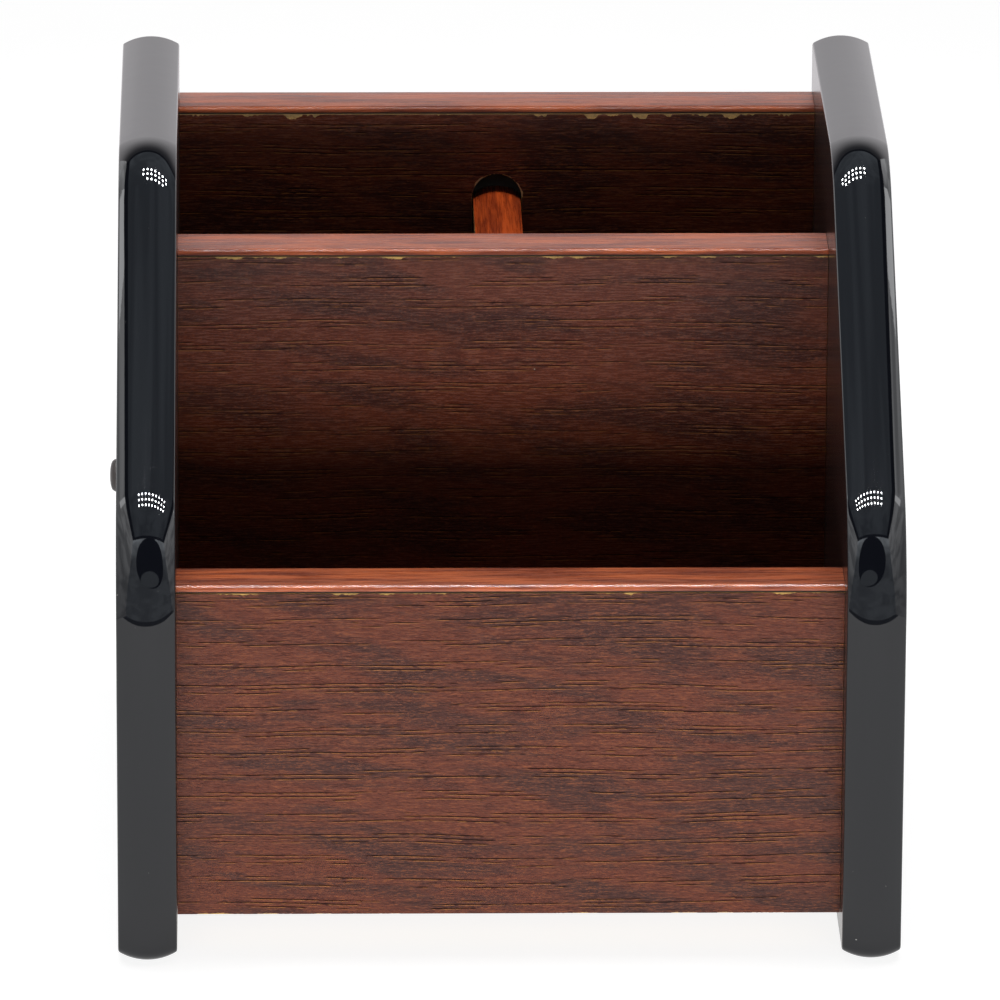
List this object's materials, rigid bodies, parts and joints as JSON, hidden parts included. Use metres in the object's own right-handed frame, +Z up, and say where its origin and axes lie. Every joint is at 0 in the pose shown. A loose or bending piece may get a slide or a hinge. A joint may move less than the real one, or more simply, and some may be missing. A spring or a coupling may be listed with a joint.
{
  "type": "pen holder",
  "caption": "Desk pen holder of laminated boards between two thick black lacquered cheeks, with a deep front compartment and a divided rear one, all open at the top.",
  "frame": {"origin": "middle of the footprint, at the height of the desk the cheeks stand on", "axes": "+X to the right seen from the front, +Y from the low front board to the high back board, +Z up"},
  "size_m": [0.1636, 0.17, 0.147],
  "materials": {
    "lacquer": "high-gloss black piano lacquer over fibreboard",
    "rosewood_laminate": "satin red-brown wood-grain laminate",
    "edge_band": "glossy red-brown wood-grain edge band",
    "divider_band": "glossy orange-red wood-grain band, crowned",
    "fibreboard": "raw tan fibreboard",
    "beech": "plain beech",
    "steel": "zinc plated",
    "cap": "matt dark brown moulded plastic"
  },
  "bodies": {
    "root": {"left_cheek": "lacquer", "right_cheek": "lacquer", "front_panel_core": "fibreboard", "front_panel_front_laminate": "rosewood_laminate", "front_panel_rear_laminate": "rosewood_laminate", "front_panel_edge_band": "edge_band", "middle_panel_core": "fibreboard", "middle_panel_front_laminate": "rosewood_laminate", "middle_panel_rear_laminate": "rosewood_laminate", "middle_panel_edge_band": "edge_band", "back_panel_core": "fibreboard", "back_panel_front_laminate": "rosewood_laminate", "back_panel_rear_laminate": "rosewood_laminate", "back_panel_edge_band": "edge_band", "base_panel_core": "fibreboard", "base_panel_top_laminate": "rosewood_laminate", "base_panel_bottom_laminate": "rosewood_laminate", "divider_core": "fibreboard", "divider_left_laminate": "rosewood_laminate", "divider_right_laminate": "rosewood_laminate", "divider_edge_band": "divider_band", "dowel_front_left_1": "beech", "dowel_front_left_2": "beech", "dowel_front_right_1": "beech", "dowel_front_right_2": "beech", "dowel_middle_left_1": "beech", "dowel_middle_left_2": "beech", "dowel_middle_right_1": "beech", "dowel_middle_right_2": "beech", "dowel_back_left_1": "beech", "dowel_back_left_2": "beech", "dowel_back_right_1": "beech", "dowel_back_right_2": "beech", "dowel_base_left_1": "beech", "dowel_base_left_2": "beech", "dowel_base_right_1": "beech", "dowel_base_right_2": "beech", "left_screw": "steel", "right_screw": "steel", "left_screw_cap": "cap", "right_screw_cap": "cap"}
  },
  "joints": []
}
